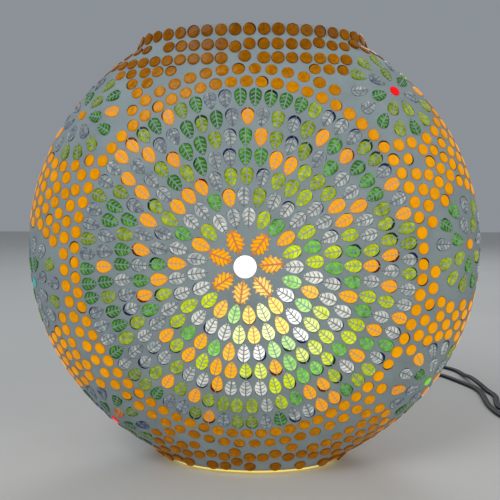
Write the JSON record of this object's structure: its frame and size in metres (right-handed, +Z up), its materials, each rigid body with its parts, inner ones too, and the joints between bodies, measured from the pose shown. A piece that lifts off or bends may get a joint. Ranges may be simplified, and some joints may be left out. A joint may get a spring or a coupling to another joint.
{
  "type": "mosaic table lamp",
  "caption": "Flattened round glass table lamp covered in a mosaic of amber, green and clear glass tiles, lit by a bulb on a weighted base.",
  "frame": {"origin": "on the table under the middle of the lamp's body", "axes": "+Z up, the front with the large star pattern faces -Y, +X to the right seen from the front"},
  "size_m": [0.3982, 0.3061, 0.2865],
  "materials": {
    "clear_glass_tile": "gloss",
    "amber_glass": "gloss",
    "lime_glass": "gloss",
    "green_glass": "gloss",
    "orange_glass": "gloss",
    "red_glass": "gloss",
    "globe_glass": "gloss",
    "grout": "matte",
    "base_metal": "satin",
    "cast_weight": "rough",
    "foot_rubber": "matte",
    "plated_steel": "polished",
    "cord_rubber": "satin",
    "brass_parts": "satin",
    "holder_plastic": "satin",
    "holder_insulator": "gloss",
    "wire_plastic": "gloss",
    "bulb_metal": "polished",
    "bulb_plastic": "satin",
    "bulb_frost": "frosted",
    "tie_plastic": "satin",
    "switch_plastic": "satin"
  },
  "bodies": {
    "base": {"base_ballast": "cast_weight", "base_cover": "base_metal", "base_feet": "foot_rubber", "base_pan": "base_metal", "base_posts": "plated_steel", "centre_contact": "brass_parts", "cord_coil": "cord_rubber", "cord_grommet": "cord_rubber", "cord_lead": "cord_rubber", "cord_run": "cord_rubber", "cord_tail": "cord_rubber", "cord_tie": "tie_plastic", "cover_screws": "plated_steel", "holder_cap": "holder_plastic", "holder_insert": "holder_insulator", "holder_nipple": "brass_parts", "holder_ring": "holder_plastic", "holder_shell": "holder_plastic", "holder_thread": "brass_parts", "inner_wires": "wire_plastic", "nipple_nut": "plated_steel", "nipple_washer": "plated_steel", "plug_body": "switch_plastic", "plug_pins": "plated_steel", "plug_sleeve": "cord_rubber", "switch_carrier": "holder_insulator", "switch_lower": "switch_plastic", "switch_screws": "plated_steel", "switch_sleeves": "cord_rubber", "switch_upper": "switch_plastic", "terminal_screws": "brass_parts"},
    "globe": {"glass_globe": "globe_glass", "grout_bed": "grout", "centre_discs": "clear_glass_tile", "flower_centres_amber": "amber_glass", "flower_centres_green": "green_glass", "flower_centres_red": "red_glass", "flower_centres_teal": "clear_glass_tile", "leaves_clear_back": "clear_glass_tile", "leaves_clear_front": "clear_glass_tile", "leaves_green_back": "green_glass", "leaves_green_front": "green_glass", "leaves_lime_back": "lime_glass", "leaves_lime_front": "lime_glass", "leaves_orange_back": "orange_glass", "leaves_orange_front": "orange_glass", "maple_leaves": "amber_glass", "rounds_lower_back": "amber_glass", "rounds_lower_front": "amber_glass", "rounds_middle_back": "amber_glass", "rounds_middle_front": "amber_glass", "rounds_upper_back": "amber_glass", "rounds_upper_front": "amber_glass"},
    "bulb_foot": {"bulb_contact": "bulb_metal", "bulb_cap_insulator": "holder_plastic"},
    "bulb": {"bulb_cap": "bulb_metal", "bulb_neck": "bulb_plastic", "bulb_glow": "bulb_frost"},
    "rocker": {"switch_rocker": "switch_plastic"}
  },
  "joints": [
    {"name": "globe_lift", "type": "slide", "parent": "base", "child": "globe", "axis": [0, 0, 1], "range_m": [0, 0.15]},
    {"name": "bulb_rise", "type": "slide", "parent": "base", "child": "bulb_foot", "axis": [0, 0, 1], "range_m": [0, 0.0146]},
    {"name": "bulb_turn", "type": "hinge", "parent": "bulb_foot", "child": "bulb", "pos_m": [0, 0, 0.06], "axis": [0, 0, 1], "range_deg": [0, 1440]},
    {"name": "switch_rocker", "type": "hinge", "parent": "base", "child": "rocker", "pos_m": [0.095, 0.125, 0.011], "axis": [-0.7431, 0.6691, 0], "range_deg": [0, 12]}
  ],
  "couplings": [
    {"joint": "bulb_rise", "follows": "bulb_turn", "m_per_rad": 0.00057296}
  ]
}
